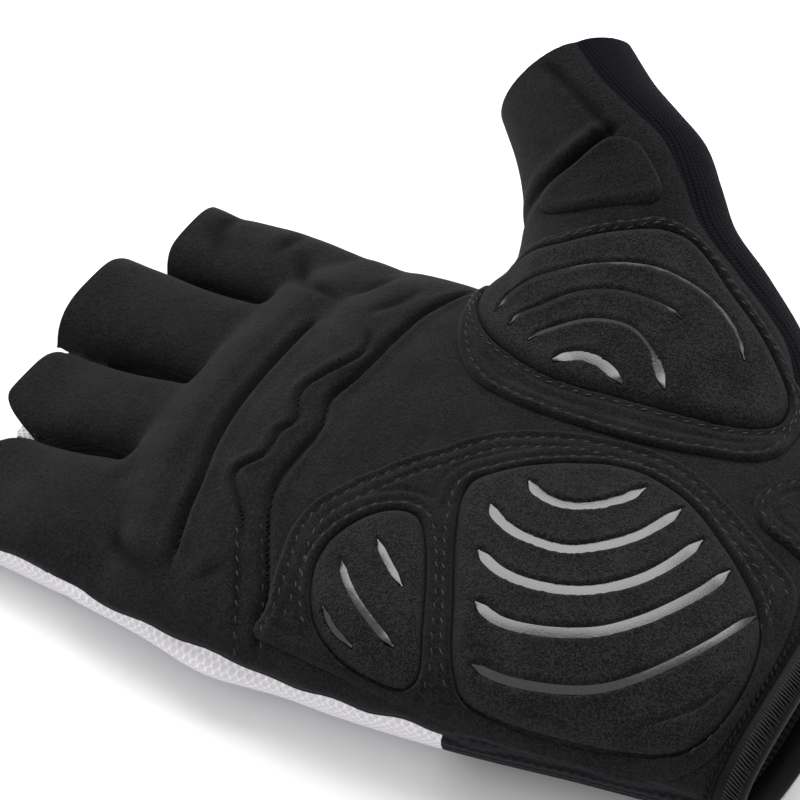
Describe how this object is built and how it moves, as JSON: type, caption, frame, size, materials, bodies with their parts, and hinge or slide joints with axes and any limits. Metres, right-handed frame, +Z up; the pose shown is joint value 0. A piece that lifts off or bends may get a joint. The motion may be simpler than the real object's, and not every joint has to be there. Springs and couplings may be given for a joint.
{
  "type": "cycling glove",
  "caption": "Right-hand fingerless cycling glove lying palm up, with a suede palm, stuffed heel, side and thumb pads, a white mesh back and a ribbed wrist binding.",
  "frame": {"origin": "on the floor under the middle of the glove's box", "axes": "+X from the fingertips towards the wrist, +Y from the little finger towards the thumb, +Z up out of the palm"},
  "size_m": [0.1624, 0.1478, 0.0563],
  "materials": {
    "suede": "matte synthetic suede with a short nap",
    "mesh_cloth": "white dimpled mesh knit",
    "rib_knit": "black ribbed elastic knit",
    "navy_knit": "navy-black stretch knit",
    "binding_tape": "ribbed elastic binding with a satin sheen",
    "film": "smooth grey film in the grooves"
  },
  "bodies": {
    "root": {"palm_panel": "suede", "back_panel": "mesh_cloth", "cuff_back_panel": "rib_knit", "thumb_back_panel": "navy_knit", "cuff_binding": "binding_tape", "fourchette_1": "navy_knit", "fourchette_2": "navy_knit", "fourchette_3": "navy_knit", "heel_overlay": "suede", "thumb_overlay": "suede", "thumb_patch": "suede", "wrist_tab": "suede", "heel_pad": "suede", "side_pad": "suede", "thumb_pad": "suede", "heel_strip_1": "film", "heel_strip_2": "film", "heel_strip_3": "film", "heel_strip_4": "film", "heel_strip_5": "film", "side_strip_1": "film", "side_strip_2": "film", "side_strip_3": "film", "thumb_strip_1": "film", "thumb_strip_2": "film", "thumb_strip_3": "film", "thumb_strip_4": "film"}
  },
  "joints": []
}
